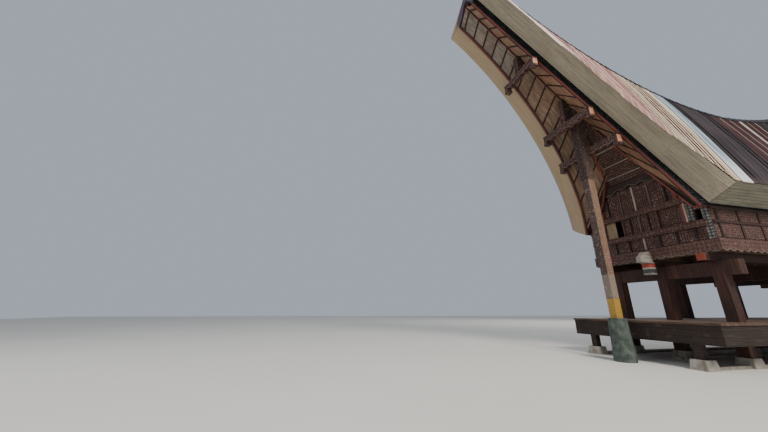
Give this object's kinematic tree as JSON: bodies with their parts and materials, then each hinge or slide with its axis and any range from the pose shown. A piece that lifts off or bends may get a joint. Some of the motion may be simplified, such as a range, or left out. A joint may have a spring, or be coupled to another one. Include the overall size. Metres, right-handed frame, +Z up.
{
  "type": "tongkonan house",
  "caption": "Saddle-roofed timber house: carved end walls under two rising prows, each held by a tall post, on an open storey of posts with a raised platform.",
  "frame": {"origin": "on the ground under the middle of the house", "axes": "+Z up, Y along the ridge with the carved front towards -Y, X across"},
  "size_m": [5.92, 27, 15.9205],
  "materials": {
    "concrete": "cast concrete, weathered",
    "post_wood": "hewn hardwood posts and beams, red-brown",
    "dark_wood": "old dark planks",
    "deck_wood": "worn floor boards",
    "carved_wood": "carved and painted boards, black, red and white",
    "shutter_paint": "cream paint on boards",
    "sheet_metal": "corrugated sheets in mixed old colours over a thick roof, cream fascia",
    "cap_metal": "dark folded and ribbed sheet",
    "black_board": "black boards with small painted dots and an orange trim",
    "woven_mat": "woven bamboo matting with battens",
    "red_beam": "red-brown painted beam",
    "stone": "rough grey-green stone",
    "pale_carving": "pale painted carving"
  },
  "bodies": {
    "root": {"buffalo_head": "pale_carving", "floor_beams": "post_wood", "footing_centre": "concrete", "footing_left": "concrete", "footing_right": "concrete", "front_closed_shutter": "carved_wood", "front_gable": "carved_wood", "front_half_shutter": "shutter_paint", "front_lower_tie_beam": "carved_wood", "front_middle_tie_beam": "carved_wood", "front_pedestal": "stone", "front_prow_face": "cap_metal", "front_ridge_beam": "red_beam", "front_soffit": "woven_mat", "front_tulak_somba": "carved_wood", "front_upper_tie_beam": "carved_wood", "front_wall": "carved_wood", "house_floor": "deck_wood", "lambrequin": "carved_wood", "left_border_board": "black_board", "left_roof_slope": "sheet_metal", "left_wall": "carved_wood", "platform_deck": "deck_wood", "platform_skirt": "dark_wood", "post_row_1": "post_wood", "post_row_2": "post_wood", "post_row_3": "post_wood", "post_row_4": "post_wood", "post_row_5": "post_wood", "rear_closed_shutter": "carved_wood", "rear_gable": "carved_wood", "rear_half_shutter": "shutter_paint", "rear_lower_tie_beam": "carved_wood", "rear_middle_tie_beam": "carved_wood", "rear_pedestal": "stone", "rear_prow_face": "cap_metal", "rear_ridge_beam": "red_beam", "rear_soffit": "woven_mat", "rear_tulak_somba": "carved_wood", "rear_upper_tie_beam": "carved_wood", "rear_wall": "carved_wood", "ridge_cap": "cap_metal", "right_border_board": "black_board", "right_roof_slope": "sheet_metal", "right_wall": "carved_wood"}
  },
  "joints": []
}
